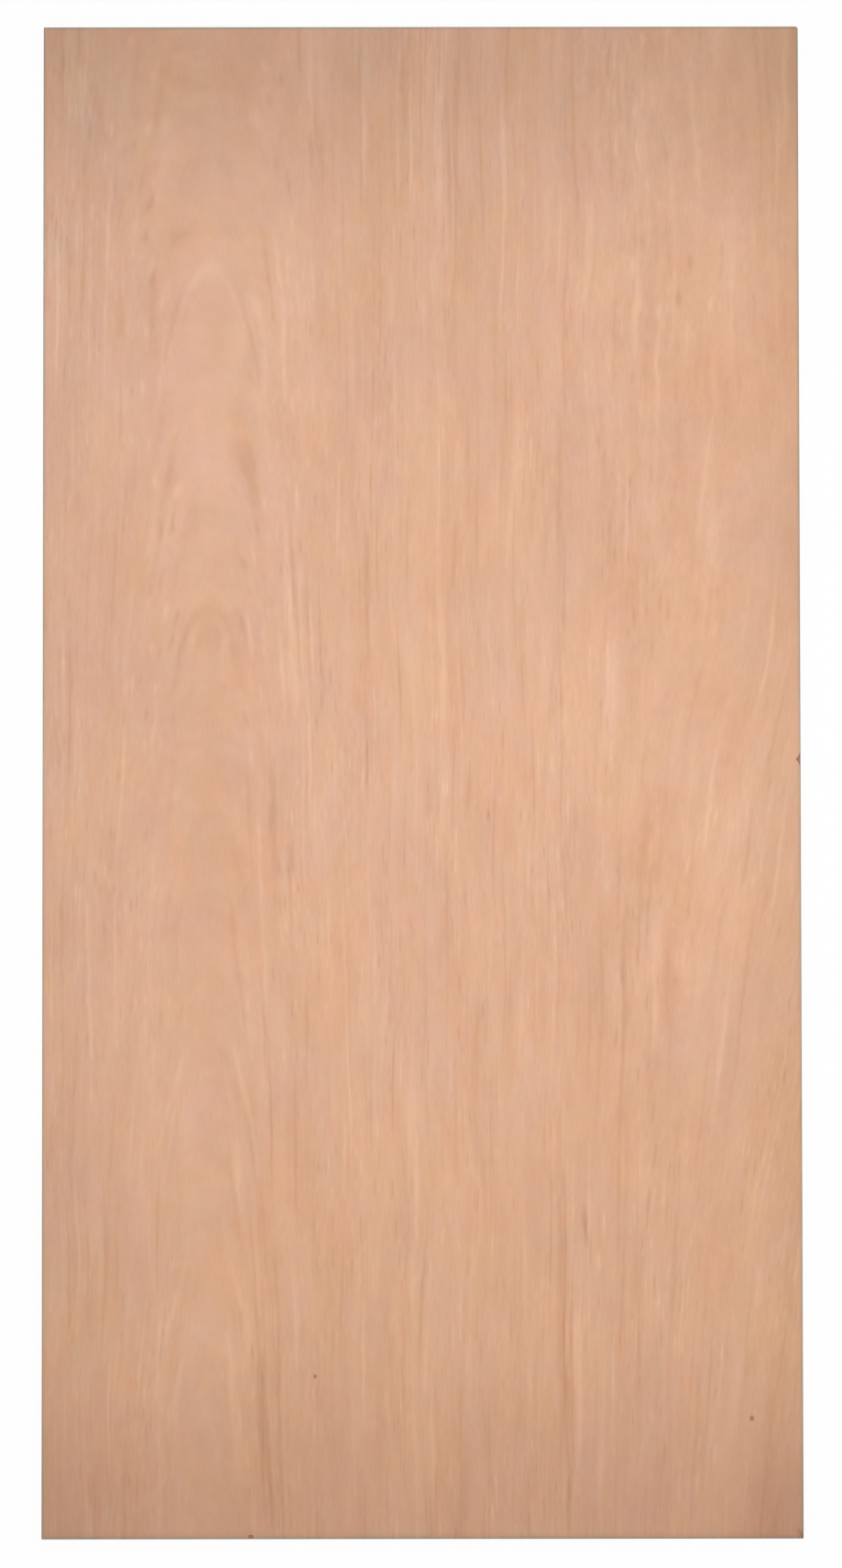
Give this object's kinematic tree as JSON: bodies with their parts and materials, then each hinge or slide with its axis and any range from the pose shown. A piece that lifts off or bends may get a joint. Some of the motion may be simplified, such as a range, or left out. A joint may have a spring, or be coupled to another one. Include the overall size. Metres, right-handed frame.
{
  "type": "plywood sheet",
  "caption": "Full rectangular plywood sheet lying on its back, with a plain sanded hardwood face veneer, eased edges, worn corners and small veneer breaks at its edges.",
  "frame": {"origin": "under the middle of the sheet, in the plane of its back", "axes": "+X across the sheet, +Y along the sheet and its face grain from the foot to the head, +Z out of the face veneer"},
  "size_m": [1.22, 2.44, 0.018],
  "materials": {
    "plywood": "sanded and unfinished, matt, pinkish-tan tropical hardwood face veneer with fine grain along the length"
  },
  "bodies": {
    "root": {"plywood_sheet": "plywood"}
  },
  "joints": []
}
